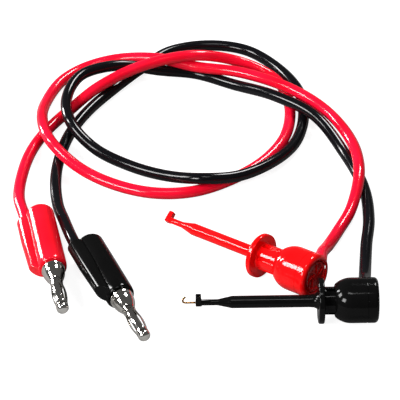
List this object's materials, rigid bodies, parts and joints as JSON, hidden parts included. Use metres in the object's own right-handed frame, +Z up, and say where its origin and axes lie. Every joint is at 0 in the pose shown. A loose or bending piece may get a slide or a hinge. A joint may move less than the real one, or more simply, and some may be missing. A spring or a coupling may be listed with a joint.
{
  "type": "test lead pair",
  "caption": "Red and black bench test leads, each a flexible cord with a stacking banana plug at one end and a spring-loaded hook clip at the other, lying loosely coiled.",
  "frame": {"origin": "on the bench surface, under the middle of the plugs and clips taken together", "axes": "+Z up from the bench, +X to the right as the leads are looked at from the plug side, +Y away over the coils of cord"},
  "size_m": [0.1123, 0.1552, 0.0156],
  "materials": {
    "red_shell": "glossy moulded red plastic",
    "black_shell": "glossy moulded black plastic",
    "red_cord": "glossy flexible red cord jacket",
    "black_cord": "glossy flexible black cord jacket",
    "nickel": "bright nickel plating on turned brass",
    "hook_metal": "bright bronze wire",
    "copper": "bare copper strands",
    "spring_steel": "drawn spring wire"
  },
  "bodies": {
    "leads": {"red_plug_shell": "red_shell", "red_plug_contact": "nickel", "red_plug_pin": "nickel", "red_plug_solder_cup": "nickel", "red_plug_conductor": "copper", "red_cord": "red_cord", "red_clip_hook": "hook_metal", "red_clip_spring": "spring_steel", "red_clip_head": "red_shell", "red_clip_end_cap": "red_shell", "red_clip_contact_rod": "nickel", "red_clip_conductor": "copper", "black_plug_shell": "black_shell", "black_plug_contact": "nickel", "black_plug_pin": "nickel", "black_plug_solder_cup": "nickel", "black_plug_conductor": "copper", "black_cord": "black_cord", "black_clip_hook": "hook_metal", "black_clip_spring": "spring_steel", "black_clip_head": "black_shell", "black_clip_end_cap": "black_shell", "black_clip_contact_rod": "nickel", "black_clip_conductor": "copper"},
    "red_clip_nose": {"red_clip_barrel": "red_shell"},
    "black_clip_nose": {"black_clip_barrel": "black_shell"},
    "red_pin_cage": {"red_plug_cage": "nickel"},
    "black_pin_cage": {"black_plug_cage": "nickel"}
  },
  "joints": [
    {"name": "red_clip_slide", "type": "slide", "parent": "leads", "child": "red_clip_nose", "axis": [0.778, -0.6189, 0.108], "range_m": [0, 0.0038], "stiffness_N_per_m": 250, "springref_m": -0.004, "deforming": ["red_clip_spring"]},
    {"name": "black_clip_slide", "type": "slide", "parent": "leads", "child": "black_clip_nose", "axis": [0.9997, 0.0227, 0], "range_m": [-0.0012, 0], "stiffness_N_per_m": 250, "springref_m": -0.0078, "deforming": ["black_clip_spring"]},
    {"name": "red_cage_spin", "type": "hinge", "parent": "leads", "child": "red_pin_cage", "pos_m": [-0.03941, -0.01047, 0.0044], "axis": [0.1994, -0.9799, 0], "continuous": true},
    {"name": "black_cage_spin", "type": "hinge", "parent": "leads", "child": "black_pin_cage", "pos_m": [-0.01642, -0.02296, 0.0044], "axis": [0.3859, -0.9225, 0], "continuous": true}
  ]
}
